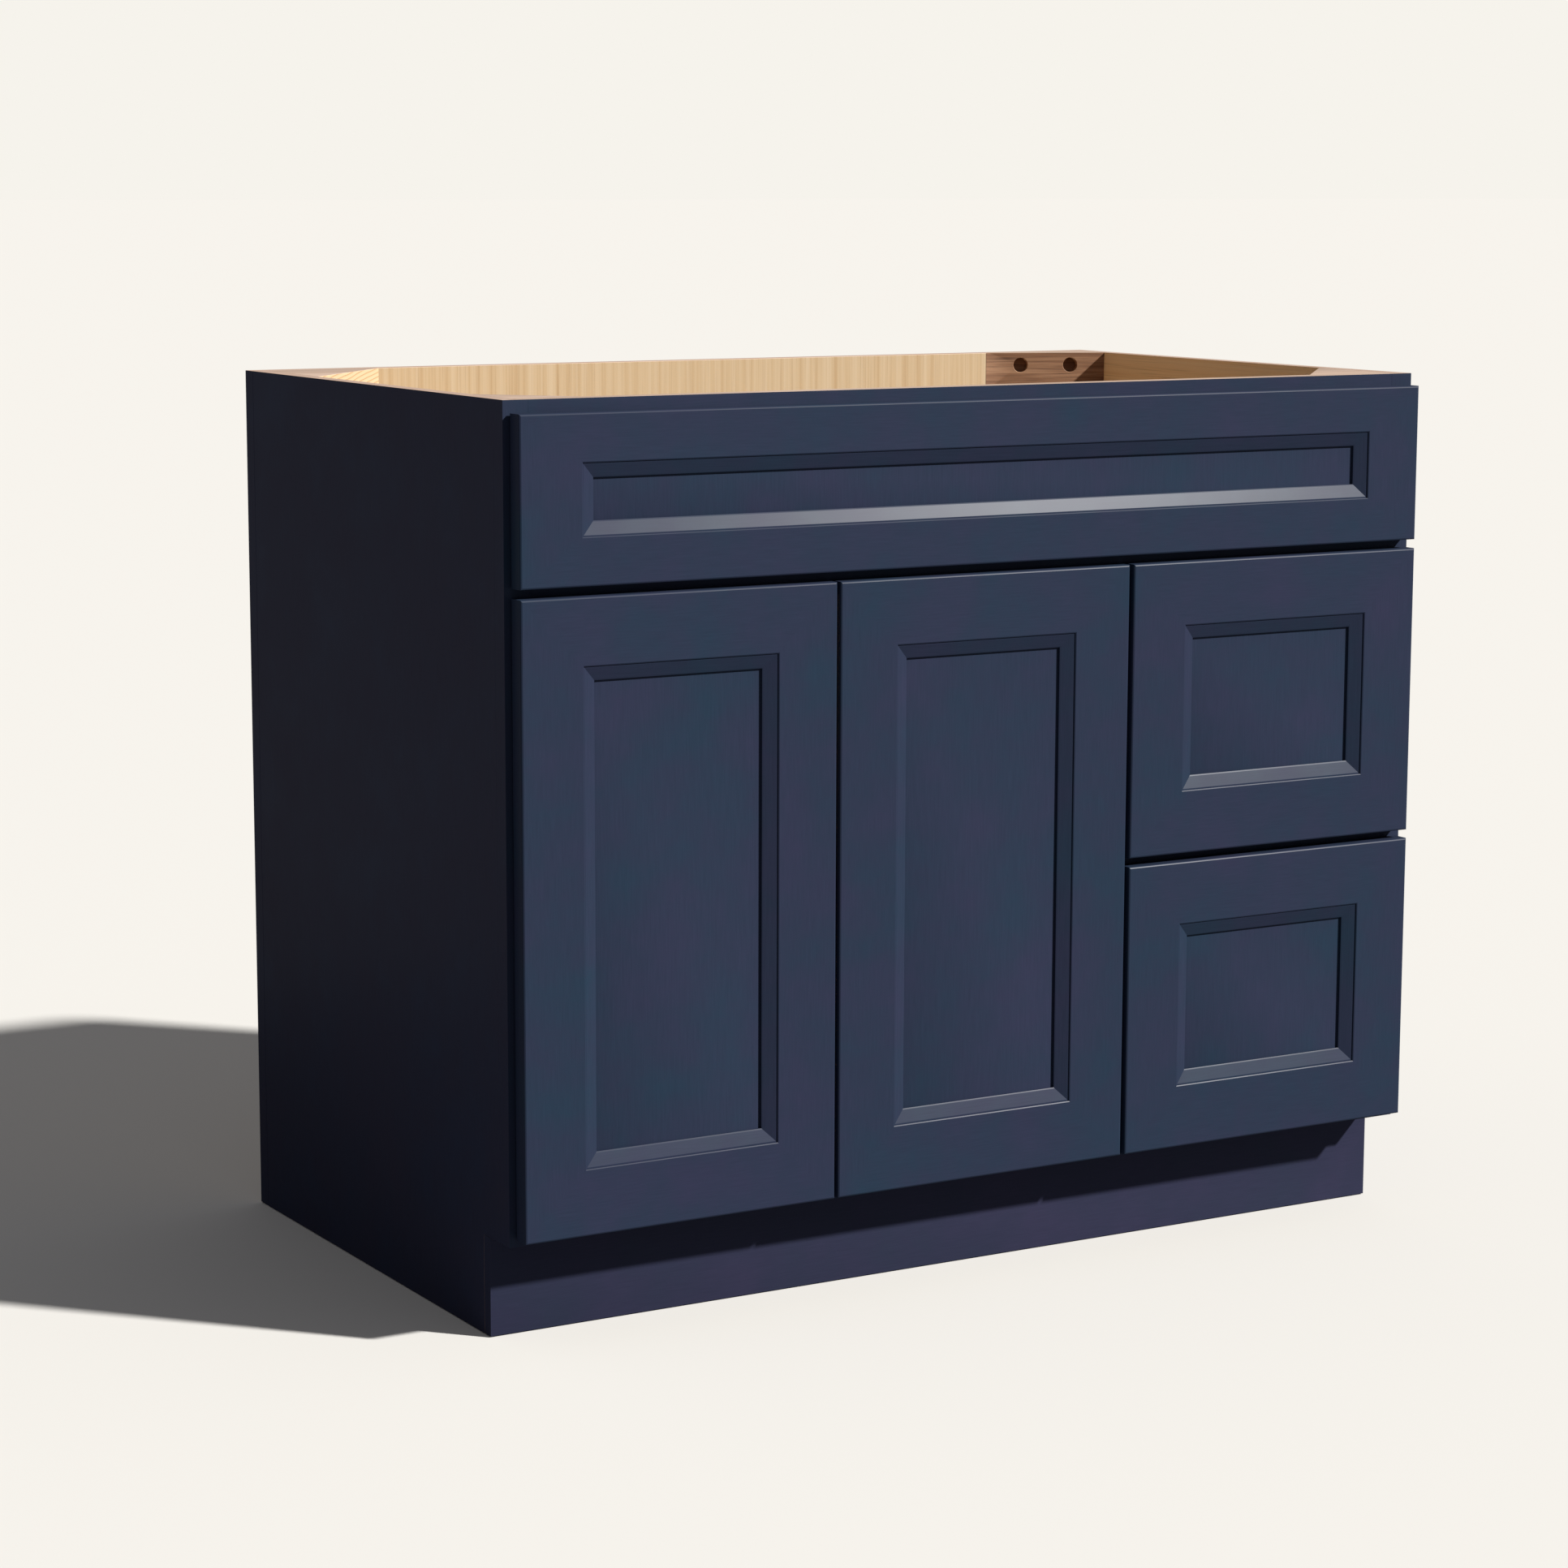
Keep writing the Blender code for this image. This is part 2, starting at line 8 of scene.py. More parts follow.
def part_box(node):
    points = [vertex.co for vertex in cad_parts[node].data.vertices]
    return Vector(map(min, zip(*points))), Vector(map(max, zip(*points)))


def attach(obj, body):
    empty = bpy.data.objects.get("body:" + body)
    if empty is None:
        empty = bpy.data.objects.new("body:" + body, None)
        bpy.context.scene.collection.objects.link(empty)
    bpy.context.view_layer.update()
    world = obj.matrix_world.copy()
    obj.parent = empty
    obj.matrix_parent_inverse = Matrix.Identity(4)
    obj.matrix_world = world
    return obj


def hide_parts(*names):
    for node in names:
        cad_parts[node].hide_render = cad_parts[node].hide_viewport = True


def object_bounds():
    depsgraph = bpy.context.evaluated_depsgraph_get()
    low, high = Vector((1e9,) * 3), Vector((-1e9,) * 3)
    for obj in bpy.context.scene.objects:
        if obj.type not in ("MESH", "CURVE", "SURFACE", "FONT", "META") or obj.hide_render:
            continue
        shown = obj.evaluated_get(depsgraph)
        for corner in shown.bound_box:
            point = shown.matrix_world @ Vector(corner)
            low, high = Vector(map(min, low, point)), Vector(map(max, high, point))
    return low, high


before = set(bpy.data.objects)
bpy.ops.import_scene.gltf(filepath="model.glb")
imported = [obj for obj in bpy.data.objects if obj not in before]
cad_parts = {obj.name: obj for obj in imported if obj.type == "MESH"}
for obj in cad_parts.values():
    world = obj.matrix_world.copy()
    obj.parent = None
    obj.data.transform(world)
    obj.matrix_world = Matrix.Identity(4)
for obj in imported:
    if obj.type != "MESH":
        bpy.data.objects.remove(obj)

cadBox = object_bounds()
mm = 0.001
xAxis, yAxis, zAxis = 0, 1, 2
print("frame loaded:", len(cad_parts), "nodes")


def roundedOutline(corners, radius, inset, steps):
    # Each corner becomes an arc about a centre one radius in from both sides. Moving the outline in
    # by the inset shrinks the arc at an outer corner and widens it at an inner one.
    corners = np.asarray(corners, float)
    along = np.roll(corners, -1, 0) - corners
    along /= np.linalg.norm(along, axis=1, keepdims=True)
    inward = np.stack([-along[:, 1], along[:, 0]], 1)
    before = np.roll(inward, 1, 0)
    cross = before[:, 0] * inward[:, 1] - before[:, 1] * inward[:, 0]
    dot = np.sum(before * inward, 1)
    turn = np.sign(cross)[:, None]
    centre = corners + turn * radius * (before + inward) / (1 + dot)[:, None]
    start = np.arctan2(before[:, 1], before[:, 0])[:, None]
    angle = start + np.arctan2(cross, dot)[:, None] * np.linspace(0, 1, steps + 1)
    normal = np.stack([np.cos(angle), np.sin(angle)], 2)
    reach = (turn * radius - inset)[:, :, None]
    return (centre[:, None] - reach * normal).reshape(-1, 2)


def bridgeFaces(ringCount, ringSize, closed=False):
    # Quads between neighbouring rings of a point grid, each ring joined to itself.
    first = np.arange(ringCount if closed else ringCount - 1)[:, None] * ringSize
    second = (first + ringSize) % (ringCount * ringSize)
    here = np.arange(ringSize)
    after = (here + 1) % ringSize
    quads = np.stack([first + here, first + after, second + after, second + here], 2)
    return quads.reshape(-1, 4).tolist()


def prism(corners, low, high, axis, edge, corner=None, steps=3):
    # One outline carried from low to high. Its first and last rings follow a quarter circle,
    # so every arris is rounded by the edge radius.
    corner = edge if corner is None else corner
    corners = np.asarray(corners, float)
    ahead = np.roll(corners, -1, 0)
    if np.sum(corners[:, 0] * ahead[:, 1] - ahead[:, 0] * corners[:, 1]) < 0:
        corners = corners[::-1]
    quarter = np.linspace(0, math.pi / 2, steps + 1)
    insets, rises = edge * (1 - np.sin(quarter)), edge * (1 - np.cos(quarter))
    levels = np.concatenate([low + rises, (high - rises)[::-1]])
    insets = np.concatenate([insets, insets[::-1]])
    rings = [
        np.insert(roundedOutline(corners, corner, inset, steps), axis, level, axis=1)
        for inset, level in zip(insets, levels)
    ]
    size = len(rings[0])
    last = (len(rings) - 1) * size
    caps = [list(range(size))[::-1], list(range(last, last + size))]
    return np.concatenate(rings), bridgeFaces(len(rings), size) + caps


def rectangle(low, high):
    return [(low[0], low[1]), (high[0], low[1]), (high[0], high[1]), (low[0], high[1])]


def boardShape(low, high, axis, edge):
    low, high = np.array(low), np.array(high)
    flat = [side for side in range(3) if side != axis]
    return prism(rectangle(low[flat], high[flat]), low[axis], high[axis], axis, edge)


def turned(profile, centre, axis, steps):
    # A profile of (radius, height) pairs carried round an axis: x = r cos a, y = r sin a.
    profile = np.asarray(profile, float)
    angle = np.linspace(0, 2 * math.pi, steps, endpoint=False)
    rings = np.stack([
        profile[:, :1] * np.cos(angle),
        profile[:, :1] * np.sin(angle),
        np.repeat(profile[:, 1:], steps, 1),
    ], 2)
    turn = np.array(Vector((0, 0, 1)).rotation_difference(Vector(axis)).to_matrix())
    points = rings.reshape(-1, 3) @ turn.T + np.array(centre)
    last = (len(profile) - 1) * steps
    caps = [list(range(steps))[::-1], list(range(last, last + steps))]
    return points, bridgeFaces(len(profile), steps) + caps


def combined(shapes):
    # Several closed shapes in one mesh, each numbered after the one before it.
    points, faces, start = [], [], 0
    for shapePoints, shapeFaces in shapes:
        points.append(shapePoints)
        faces += [[start + corner for corner in face] for face in shapeFaces]
        start += len(shapePoints)
    return np.concatenate(points), faces


def outwardFaces(points, faces):
    # The signed volume under a fan from the first corner of each face tells which way they point.
    triangles = np.array([[f[0], f[i], f[i + 1]] for f in faces for i in range(1, len(f) - 1)])
    a, b, c = (points[triangles[:, i]] for i in range(3))
    if np.sum(a * np.cross(b, c)) < 0:
        return [face[::-1] for face in faces]
    return faces


def addPiece(name, shape, looks, body, nodes=(), sides=None, faceLooks=None,
             smoothBelow=34.0):
    # sides maps a direction such as "+z" to the number of the look on faces that point that way.
    points, faces = shape
    mesh = bpy.data.meshes.new(name)
    mesh.from_pydata(points.tolist(), [], outwardFaces(points, faces))
    mesh.validate()
    mesh.update()
    for look in looks:
        mesh.materials.append(look)
    mesh.shade_smooth()
    mesh.set_sharp_from_angle(angle=math.radians(smoothBelow))
    if sides:
        normals = np.zeros(len(mesh.polygons) * 3)
        mesh.polygons.foreach_get("normal", normals)
        normals = normals.reshape(-1, 3)
        main = np.abs(normals).argmax(1)
        ahead = normals[np.arange(len(normals)), main] > 0
        chosen = np.zeros(len(normals), np.int32)
        for side, look in sides.items():
            chosen[(main == "xyz".index(side[1])) & (ahead == (side[0] == "+"))] = look
        mesh.polygons.foreach_set("material_index", chosen)
    if faceLooks is not None:
        mesh.polygons.foreach_set("material_index", faceLooks)
    piece = bpy.data.objects.new(name, mesh)
    bpy.context.scene.collection.objects.link(piece)
    shading = piece.modifiers.new("flatFacesFirst", "WEIGHTED_NORMAL")
    shading.keep_sharp = True
    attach(piece, body)
    if nodes:
        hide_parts(*nodes)


def toLinear(hexColour):
    channels = [int(hexColour[i:i + 2], 16) / 255 for i in (1, 3, 5)]
    linear = [c / 12.92 if c <= 0.04045 else ((c + 0.055) / 1.055) ** 2.4 for c in channels]
    return (*linear, 1.0)


def addNode(tree, kind, inputs=None, stops=None, **settings):
    # Adds a node, sets it, and links each input that is given a socket.
    made = tree.nodes.new("ShaderNode" + kind)
    for name, value in settings.items():
        setattr(made, name, value)
    for name, value in (inputs or {}).items():
        if isinstance(value, bpy.types.NodeSocket):
            tree.links.new(value, made.inputs[name])
        else:
            made.inputs[name].default_value = value
    for number, (place, colour) in enumerate(stops or []):
        ramp = made.color_ramp.elements
        element = ramp[number] if number < len(ramp) else ramp.new(place)
        element.position = place
        element.color = toLinear(colour)
    return made


def newMaterial(name, roughness=0.5, metallic=0.0):
    made = bpy.data.materials.new(name)
    made.use_nodes = True
    tree = made.node_tree
    tree.nodes.clear()
    shader = addNode(tree, "BsdfPrincipled", {"Roughness": roughness, "Metallic": metallic})
    addNode(tree, "OutputMaterial", {"Surface": shader.outputs["BSDF"]})
    place = addNode(tree, "TexCoord").outputs["Object"]
    return made, tree, shader, place


def stretched(tree, place, axis, across, along, turn=0.0):
    # Coordinates counted in pattern cells, each as wide across the axis and as long along it as
    # asked. They are turned about the upright first, for a board that stands at an angle.
    scale = [1 / across] * 3
    scale[axis] = 1 / along
    if turn:
        rotation = (0, 0, math.radians(turn))
        place = addNode(tree, "Mapping", {"Vector": place, "Rotation": rotation}).outputs["Vector"]
    return addNode(tree, "Mapping", {"Vector": place, "Scale": scale}).outputs["Vector"]


navyLook = {
    "teal": "#263647", "blue": "#2B3346", "violet": "#303248",
    "cloudMm": 95, "peelMm": 1.6, "peelDepthMm": 0.010,
    "grainMm": 1.1, "grainLongMm": 30, "grainDepthMm": 0.012, "grainShade": 0.06,
    "gloss": (0.46, 0.54), "ior": 1.47, "specular": 0.06, "coat": 0.036, "coatGloss": 0.225,
}
# The kick's copy of the lacquer is lighter and more violet than the rest: painted light, standing
# in for what the floor would bounce onto the kick.
navyKickPaintedBounceLook = dict(navyLook, teal="#2D3244", blue="#2F3145", violet="#333248")
# The case sides' copy is lighter too: painted fill light for faces that stand mostly in shade. The
# stiles' outer sides, the back's ends and the kick's ends share it.
navySidePaintedFillLook = dict(navyLook, teal="#2E3449", blue="#313346", violet="#353446")


def navyLacquer(name, grainAxis, look):
    # Sprayed satin lacquer on sanded hardwood: a deep colour that drifts between teal and violet,
    # a soft sheen, fine orange peel and the ghost of the grain under it.
    made, tree, shader, place = newMaterial(name)
    cloud = addNode(tree, "TexNoise", {
        "Vector": place, "Scale": 1 / (look["cloudMm"] * mm), "Detail": 5.0, "Roughness": 0.6,
    })
    colour = addNode(tree, "ValToRGB", {"Fac": cloud.outputs["Fac"]}, [
        (0.28, look["teal"]), (0.5, look["blue"]), (0.74, look["violet"]),
    ])
    grainPlace = stretched(tree, place, grainAxis, look["grainMm"] * mm, look["grainLongMm"] * mm)
    grain = addNode(tree, "TexNoise", {"Vector": grainPlace, "Scale": 1.0, "Detail": 3.0})
    shade = addNode(tree, "MapRange", {
        "Value": grain.outputs["Fac"], "From Min": 0.3, "From Max": 0.7,
        "To Min": 1 - look["grainShade"], "To Max": 1 + look["grainShade"],
    })
    tinted = addNode(tree, "VectorMath", {
        0: colour.outputs["Color"], "Scale": shade.outputs["Result"],
    }, operation="SCALE")
    peel = addNode(tree, "TexNoise", {
        "Vector": place, "Scale": 1 / (look["peelMm"] * mm), "Detail": 2.0,
    })
    low, high = look["gloss"]
    gloss = addNode(tree, "MapRange", {
        "Value": cloud.outputs["Fac"], "From Min": 0.3, "From Max": 0.7,
        "To Min": low, "To Max": high,
    })
    grainBump = addNode(tree, "Bump", {
        "Height": grain.outputs["Fac"], "Distance": look["grainDepthMm"] * mm, "Strength": 1.0,
    })
    peelBump = addNode(tree, "Bump", {
        "Height": peel.outputs["Fac"], "Distance": look["peelDepthMm"] * mm, "Strength": 1.0,
        "Normal": grainBump.outputs["Normal"],
    })
    tree.links.new(tinted.outputs["Vector"], shader.inputs["Base Color"])
    tree.links.new(gloss.outputs["Result"], shader.inputs["Roughness"])
    tree.links.new(peelBump.outputs["Normal"], shader.inputs["Normal"])
    shader.inputs["IOR"].default_value = look["ior"]
    shader.inputs["Specular IOR Level"].default_value = look["specular"]
    shader.inputs["Coat Weight"].default_value = look["coat"]
    shader.inputs["Coat Roughness"].default_value = look["coatGloss"]
    return made


birchLook = {
    "light": "#CDB592", "mid": "#C6AB84", "dark": "#B8986E", "line": "#9A754C",
    "bandMm": 9, "bandLongMm": 900, "lineMm": 1.4, "lineLongMm": 130,
    "lines": 0.45, "reliefMm": 0.04, "roughness": 0.55, "turn": 0.0,
}
# A lighter copy of the veneer: painted fill light, made for the case's inner side that stands in
# shade and shared by the partition, the drawer boxes and the slide spacers.
birchSidePaintedFillLook = dict(birchLook, light="#F4D5AA", mid="#F0CA98", dark="#E3B884")
mapleLook = dict(
    birchLook, light="#D8BFAC", mid="#CBB09A", dark="#B99880", line="#9A7660",
    bandMm=7, bandLongMm=260, lineMm=0.8, lineLongMm=60, lines=0.5, roughness=0.68,
)
brownLook = dict(
    birchLook, light="#A9805F", mid="#8C6446", dark="#704A31", line="#482A19",
    bandMm=5, bandLongMm=150, lineMm=1.6, lineLongMm=60, lines=0.9, roughness=0.66, turn=22.0,
)


def plainGrain(name, look, grainAxis):
    # Straight-grained wood, sliced as veneer or sawn as a board: soft broad bands along the grain
    # with fine darker pore lines over them, and a slight relief that the finish doesn't fill.
    made, tree, shader, place = newMaterial(name, look["roughness"])
    bandPlace = stretched(
        tree, place, grainAxis, look["bandMm"] * mm, look["bandLongMm"] * mm, look["turn"],
    )
    linePlace = stretched(
        tree, place, grainAxis, look["lineMm"] * mm, look["lineLongMm"] * mm, look["turn"],
    )
    band = addNode(tree, "TexNoise", {
        "Vector": bandPlace, "Scale": 1.0, "Detail": 4.0, "Roughness": 0.6, "Distortion": 0.4,
    })
    colour = addNode(tree, "ValToRGB", {"Fac": band.outputs["Fac"]}, [
        (0.28, look["dark"]), (0.46, look["mid"]), (0.66, look["light"]),
    ])
    line = addNode(tree, "TexNoise", {"Vector": linePlace, "Scale": 1.0, "Detail": 2.0})
    pores = addNode(tree, "MapRange", {
        "Value": line.outputs["Fac"], "From Min": 0.54, "From Max": 0.78, "To Max": look["lines"],
    })
    mixed = addNode(tree, "Mix", {
        0: pores.outputs["Result"], 6: colour.outputs["Color"], 7: toLinear(look["line"]),
    }, data_type="RGBA")
    relief = addNode(tree, "Bump", {
        "Height": line.outputs["Fac"], "Distance": look["reliefMm"] * mm, "Strength": 0.6,
    })
    tree.links.new(mixed.outputs[2], shader.inputs["Base Color"])
    tree.links.new(relief.outputs["Normal"], shader.inputs["Normal"])
    return made


# A wave texture of scale 1 repeats after this length.
waveLength = math.tau / 20

pineLook = {
    "early": "#E0C59C", "late": "#C59E70", "ringMm": 4.6, "wander": 3.6, "slope": 10.0,
    "fibreMm": 0.8, "fuzzMm": 0.05, "roughness": 0.62,
}


def cathedralPine(name, look):
    # Flat-sawn pine: pale early wood between sharper orange late-wood lines that wander and arch.
    made, tree, shader, place = newMaterial(name, look["roughness"])
    tilted = addNode(tree, "Mapping", {
        "Vector": place, "Rotation": (0, math.radians(look["slope"]), 0),
    })
    rings = addNode(tree, "TexWave", {
        "Vector": tilted.outputs["Vector"], "Scale": waveLength / (look["ringMm"] * mm),
        "Distortion": look["wander"], "Detail": 2.0, "Detail Scale": 0.25,
    }, wave_type="BANDS", bands_direction="Z", wave_profile="SAW")
    colour = addNode(tree, "ValToRGB", {"Fac": rings.outputs["Fac"]}, [
        (0.1, look["early"]), (0.6, look["early"]), (0.92, look["late"]),
    ])
    fibre = addNode(tree, "TexNoise", {
        "Vector": place, "Scale": 1 / (look["fibreMm"] * mm), "Detail": 2.0,
    })
    fuzz = addNode(tree, "Bump", {
        "Height": fibre.outputs["Fac"], "Distance": look["fuzzMm"] * mm,
    })
    tree.links.new(colour.outputs["Color"], shader.inputs["Base Color"])
    tree.links.new(fuzz.outputs["Normal"], shader.inputs["Normal"])
    return made


plyLook = {
    "pale": "#D2B8A6", "dark": "#BD9D86", "plyMm": 1.75, "fibreMm": 0.7, "tornMm": 0.08,
    "roughness": 0.72,
}


def sawnPlies(name, thickAxis, look):
    # The sawn edge of plywood: thin plies, pale along the grain and darker where cut across it.
    made, tree, shader, place = newMaterial(name, look["roughness"])
    plies = addNode(tree, "TexWave", {
        "Vector": place, "Scale": waveLength / (look["plyMm"] * mm * 2), "Distortion": 0.3,
        "Detail": 1.0, "Detail Scale": 0.01,
    }, bands_direction="XYZ"[thickAxis])
    colour = addNode(tree, "ValToRGB", {"Fac": plies.outputs["Fac"]}, [
        (0.4, look["dark"]), (0.6, look["pale"]),
    ])
    fibre = addNode(tree, "TexNoise", {
        "Vector": place, "Scale": 1 / (look["fibreMm"] * mm), "Detail": 3.0,
    })
    torn = addNode(tree, "Bump", {
        "Height": fibre.outputs["Fac"], "Distance": look["tornMm"] * mm,
    })
    tree.links.new(colour.outputs["Color"], shader.inputs["Base Color"])
    tree.links.new(torn.outputs["Normal"], shader.inputs["Normal"])
    return made


metalLooks = {
    "brightNickelPlate": {"bright": "#D2CFC8", "dull": "#B9B5AC", "gloss": (0.2, 0.32)},
    "rolledZincPlate": {"bright": "#C9CCD1", "dull": "#A9ADB5", "gloss": (0.28, 0.42)},
}
drawnLook = {"lineMm": 0.5, "lineLongMm": 40, "depthMm": 0.01}


def platedSteel(name):
    # Pressed steel under a thin plated coat: bright, with the faint cloud and draw lines of a mill.
    look = metalLooks[name]
    made, tree, shader, place = newMaterial(name, metallic=1.0)
    drawn = stretched(tree, place, yAxis, drawnLook["lineMm"] * mm, drawnLook["lineLongMm"] * mm)
    streak = addNode(tree, "TexNoise", {"Vector": drawn, "Scale": 1.0, "Detail": 2.0})
    colour = addNode(tree, "ValToRGB", {"Fac": streak.outputs["Fac"]}, [
        (0.3, look["dull"]), (0.7, look["bright"]),
    ])
    low, high = look["gloss"]
    gloss = addNode(tree, "MapRange", {
        "Value": streak.outputs["Fac"], "To Min": low, "To Max": high,
    })
    lines = addNode(tree, "Bump", {
        "Height": streak.outputs["Fac"], "Distance": drawnLook["depthMm"] * mm,
    })
    tree.links.new(colour.outputs["Color"], shader.inputs["Base Color"])
    tree.links.new(gloss.outputs["Result"], shader.inputs["Roughness"])
    tree.links.new(lines.outputs["Normal"], shader.inputs["Normal"])
    return made


rubberLook = {
    "dusty": "#C9CCCB", "clear": "#E4E6E4", "dustMm": 0.6, "roughness": 0.3,
    "litThrough": 0.3, "reachMm": 1.0,
}


def clearRubber():
    # Soft clear polyurethane: milky, slightly tacky, lit through.
    look = rubberLook
    made, tree, shader, place = newMaterial("clearPolyurethaneRubber", look["roughness"])
    dust = addNode(tree, "TexNoise", {"Vector": place, "Scale": 1 / (look["dustMm"] * mm)})
    colour = addNode(tree, "ValToRGB", {"Fac": dust.outputs["Fac"]}, [
        (0.3, look["dusty"]), (0.7, look["clear"]),
    ])
    tree.links.new(colour.outputs["Color"], shader.inputs["Base Color"])
    shader.inputs["Subsurface Weight"].default_value = look["litThrough"]
    shader.inputs["Subsurface Radius"].default_value = [look["reachMm"] * mm] * 3
    return made


floorLook = {"colour": "#EDEBE5", "bounce": "#85868A", "half": 150.0, "drop": 0.9 * mm}


def seamlessPaper():
    # Matt seamless paper. It sends less light back up than it shows, as if flagged off the object.
    made, tree, shader, _ = newMaterial("seamlessPaper", 1.0)
    ray = addNode(tree, "LightPath")
    seen = addNode(tree, "Mix", {
        0: ray.outputs["Is Camera Ray"],
        6: toLinear(floorLook["bounce"]),
        7: toLinear(floorLook["colour"]),
    }, data_type="RGBA")
    tree.links.new(seen.outputs[2], shader.inputs["Base Color"])
    shader.inputs["Specular IOR Level"].default_value = 0.0
    return made


navyUpright = navyLacquer("navySatinLacquerUpright", zAxis, navyLook)
navyAcross = navyLacquer("navySatinLacquerAcross", xAxis, navyLook)
# The kick's lacquer carries painted bounce light: a lighter, more violet copy of the navy.
navyKickPaintedBounce = navyLacquer("navySatinLacquerKickPaintedBounce", xAxis, navyKickPaintedBounceLook)
# The case sides' lacquer carries painted fill light: a lighter copy of the navy.
navySidePaintedFill = navyLacquer("navySatinLacquerCaseSidePaintedFill", zAxis, navySidePaintedFillLook)
birchUp = plainGrain("birchVeneerUpright", birchLook, zAxis)
birchAcross = plainGrain("birchVeneerAcross", birchLook, xAxis)
# The front-to-back veneer is the lighter copy, with painted fill light.
birchDeepPaintedFill = plainGrain("birchVeneerFrontToBackPaintedFill", birchSidePaintedFillLook, yAxis)
mapleAcross = plainGrain("rawMapleAcross", mapleLook, xAxis)
mapleUp = plainGrain("rawMapleUpright", mapleLook, zAxis)
brownPoplar = plainGrain("rawPoplarAcross", brownLook, xAxis)
pine = cathedralPine("rawSawnPine", pineLook)
pliesX, pliesY, pliesZ = (sawnPlies(f"sawnPlies{'XYZ'[axis]}", axis, plyLook) for axis in range(3))
nickel = platedSteel("brightNickelPlate")
zinc = platedSteel("rolledZincPlate")
rubber = clearRubber()
print("materials made")


mouldingLook = {
    "border": 63.5 * mm, "falseBorder": 45.0 * mm, "edgeRound": 1.5 * mm, "backRound": 0.8 * mm,
    "quirk": 1.6 * mm, "ledge": 1.0 * mm, "arris": 0.9 * mm, "arrisTurn": 29.0, "edgeTurn": 25.5,
    "slopeWidth": 14.0 * mm, "slopeDepth": 6.8 * mm,
    "grooveFront": 9.55 * mm, "grooveBack": 16.2 * mm, "grooveReach": 9.0 * mm,
    "keepFlat": 0.5 * mm, "panelEdge": 0.5 * mm, "smoothBelow": 25,
}


def arc(centre, radius, first, last, steps=4):
    angle = np.radians(np.linspace(first, last, steps + 1))
    return np.stack([centre[0] + radius * np.cos(angle), centre[1] + radius * np.sin(angle)], 1)


def frontSection(thick):
    # The closed cross-section of a frame as (inset, depth) pairs: first the outer edge with its
    # rounds and its arris, then over the next arris into the quirk, down the slope to the arris of
    # the lip and round the panel groove to the back. An arris is a narrow flat, as deep as its
    # width times the tangent of its turn. The pairs just inside a flat's ends keep it looking flat.
    look = mouldingLook
    r, b, arris = look["edgeRound"], look["backRound"], look["arris"]
    arrisDepth = arris * math.tan(math.radians(look["arrisTurn"]))
    wide, deep = look["slopeWidth"], look["slopeDepth"]
    grooved = wide - look["grooveReach"]
    keep = look["keepFlat"]
    turn = math.radians(look["edgeTurn"])
    edgeDepth = arris * math.tan(turn)
    roundEnd = edgeDepth + r * math.cos(turn)
    flatStart = r * (1 - math.sin(turn)) + arris
    outer = np.concatenate([
        [(b + keep, thick)], arc((b, thick - b), b, 90, 180),
        [(0, thick - b - keep), (0, roundEnd + keep)],
        arc((r, roundEnd), r, 180, 270 - look["edgeTurn"]), [(flatStart, 0), (flatStart + keep, 0)],
    ])
    ledge = np.array([look["ledge"], look["quirk"]])
    slopeEnd = np.array([wide - arris, deep])
    slope = ledge + np.outer([0, 0.04, 0.96, 1], slopeEnd - ledge)
    inner = np.concatenate([
        [(-arris - keep, 0), (-arris, 0), (0, arrisDepth), (0, look["quirk"])],
        slope, [(wide, deep + arrisDepth)],
        [(wide, look["grooveFront"]), (grooved, look["grooveFront"])],
        [(grooved, look["grooveBack"]), (wide, look["grooveBack"])],
        arc((wide - b, thick - b), b, 0, 90), [(wide - b - keep, thick)],
    ])
    return outer, inner


def frontRing(low, high, border):
    # The section carried round four mitred corners: a corner's point lies its inset in from both of
    # the sides that meet there. Rails come out as rings 0 and 2, stiles as rings 1 and 3.
    outer, inner = frontSection(high[1] - low[1])
    section = np.concatenate([outer, inner])
    inBorder = np.repeat([0.0, 1.0], [len(outer), len(inner)])
    insetX = section[:, 0] + inBorder * border[0]
    insetZ = section[:, 0] + inBorder * border[1]
    depth = low[1] + section[:, 1]
    left, right = low[0] + insetX, high[0] - insetX
    bottom, top = low[2] + insetZ, high[2] - insetZ
    corners = [(left, bottom), (right, bottom), (right, top), (left, top)]
    points = np.concatenate([np.stack([x, depth, z], 1) for x, z in corners])
    looks = np.repeat([1, 0, 1, 0], len(section))
    return (points, bridgeFaces(4, len(section), closed=True)), looks


def overlayFront(name, body, borderZ):
    low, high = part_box(f"{name}_frame")
    ring, looks = frontRing(low, high, (mouldingLook["border"], borderZ))
    addPiece(f"{name}_moulded_frame", ring, [navyUpright, navyAcross], body,
             [f"{name}_frame"], faceLooks=looks, smoothBelow=mouldingLook["smoothBelow"])
    sheet = boardShape(*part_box(f"{name}_panel"), yAxis, mouldingLook["panelEdge"])
    addPiece(f"{name}_centre_panel", sheet, [navyUpright], body, [f"{name}_panel"])


overlayFront("false_front", "cabinet", mouldingLook["falseBorder"])
for side in ("left", "right"):
    overlayFront(f"{side}_door", f"{side}_door", mouldingLook["border"])
for level in ("upper", "lower"):
    overlayFront(f"{level}_drawer_front", f"{level}_drawer", mouldingLook["border"])
print("fronts made")


caseLook = {
    "boardEdge": 0.5 * mm, "frameEdge": 0.15 * mm, "frameJoint": 0.3 * mm, "kickEdge": 0.5 * mm,
    "blockEdge": 0.6 * mm, "notchGap": 0.3 * mm,
}


def board(node, axis, edge, looks, sides, body="cabinet", longer=(0, 0, 0)):
    low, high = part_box(node)
    shape = boardShape(low - Vector(longer), high + Vector(longer), axis, edge)
    addPiece(f"{node}_board", shape, looks, body, [node], sides)


